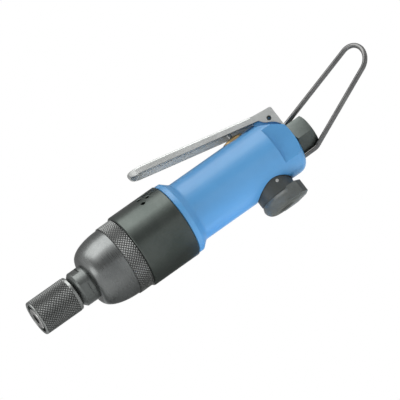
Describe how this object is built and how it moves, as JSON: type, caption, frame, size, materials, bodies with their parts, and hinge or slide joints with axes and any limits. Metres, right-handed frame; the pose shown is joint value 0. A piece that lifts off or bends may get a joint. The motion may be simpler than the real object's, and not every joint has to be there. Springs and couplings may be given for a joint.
{
  "type": "pneumatic screwdriver",
  "caption": "Straight air screwdriver with a knurled bit sleeve, hammer case, turning exhaust collar, throttle lever, reverse knob, hex air inlet and wire hanger.",
  "frame": {"origin": "centre of the bit socket's mouth, on the tool axis", "axes": "+X along the tool axis to the air inlet, +Z to the lever side, -Y the side seen in the picture"},
  "size_m": [0.2557, 0.0584, 0.0729],
  "materials": {
    "black_steel": "black oxide",
    "grey_steel": "ground",
    "bright_steel": "polished",
    "sleeve_steel": "knurled, polished",
    "lever_steel": "stamped, satin",
    "wire_steel": "drawn wire",
    "blue_metal": "blue coated aluminium, semi gloss",
    "brass": "turned",
    "bronze": "sintered",
    "dark_plastic": "moulded",
    "rubber": "matt",
    "white_paint": "plain",
    "resin": "pressed fibre"
  },
  "bodies": {
    "tool": {"hammer_case": "black_steel", "front_bush": "bronze", "housing": "blue_metal", "liner": "grey_steel", "liner_pin": "bright_steel", "front_end_plate": "grey_steel", "rear_end_plate": "grey_steel", "outer_races": "bright_steel", "bearing_balls": "bright_steel", "collar_seals": "rubber", "throttle_bushing": "brass", "valve_seat": "dark_plastic", "throttle_spring": "grey_steel", "lever_pin": "grey_steel", "reverse_bush": "brass", "detent_ball": "bright_steel", "detent_spring": "grey_steel", "inlet_bushing": "black_steel", "inlet_seal": "rubber", "inlet_strainer": "bright_steel", "hanger": "wire_steel"},
    "spindle": {"spindle": "bright_steel", "retaining_rings": "grey_steel", "lock_ball": "bright_steel", "sleeve_spring": "grey_steel"},
    "sleeve": {"bit_sleeve": "sleeve_steel"},
    "drive": {"rotor": "grey_steel", "vanes": "resin", "hammer_cage": "grey_steel", "hammer_pins": "bright_steel", "inner_races": "bright_steel"},
    "front_hammer": {"hammer_front": "grey_steel"},
    "rear_hammer": {"hammer_rear": "grey_steel"},
    "lever": {"lever": "lever_steel"},
    "stem": {"throttle_stem": "bright_steel", "valve_ball": "bright_steel"},
    "knob": {"reverse_knob": "dark_plastic", "index_mark": "white_paint", "knob_screw": "black_steel", "reverse_spool": "bright_steel"},
    "collar": {"exhaust_collar": "black_steel"}
  },
  "joints": [
    {"name": "lever_press", "type": "hinge", "parent": "tool", "child": "lever", "pos_m": [0.1875, 0, 0.0171], "axis": [0, -1, 0], "range_deg": [0, 6.5], "stiffness_Nm_per_rad": 1, "springref_deg": -22.92},
    {"name": "stem_push", "type": "slide", "parent": "tool", "child": "stem", "axis": [0, 0, -1], "range_m": [0, 0.0029], "deforming": ["throttle_spring"]},
    {"name": "drive_spin", "type": "hinge", "parent": "tool", "child": "drive", "pos_m": [0.12, 0, 0], "axis": [1, 0, 0], "continuous": true},
    {"name": "spindle_spin", "type": "hinge", "parent": "tool", "child": "spindle", "pos_m": [0.037, 0, 0], "axis": [1, 0, 0], "continuous": true},
    {"name": "sleeve_pull", "type": "slide", "parent": "spindle", "child": "sleeve", "axis": [-1, 0, 0], "range_m": [0, 0.0045], "stiffness_N_per_m": 1500, "springref_m": -0.004, "deforming": ["sleeve_spring"]},
    {"name": "front_hammer_swing", "type": "hinge", "parent": "drive", "child": "front_hammer", "pos_m": [0.0615, 0, 0.0131], "axis": [1, 0, 0], "range_deg": [-3.5, 3.5]},
    {"name": "rear_hammer_swing", "type": "hinge", "parent": "drive", "child": "rear_hammer", "pos_m": [0.0762, 0, -0.0131], "axis": [1, 0, 0], "range_deg": [-3.5, 3.5]},
    {"name": "knob_turn", "type": "hinge", "parent": "tool", "child": "knob", "pos_m": [0.1653, 0, -0.02], "axis": [0, 0, 1], "range_deg": [-40, 40]},
    {"name": "collar_turn", "type": "hinge", "parent": "tool", "child": "collar", "pos_m": [0.088, 0, 0], "axis": [1, 0, 0], "continuous": true}
  ],
  "couplings": [
    {"joint": "spindle_spin", "follows": "drive_spin", "ratio": 1},
    {"joint": "stem_push", "follows": "lever_press", "m_per_rad": 0.0252}
  ]
}
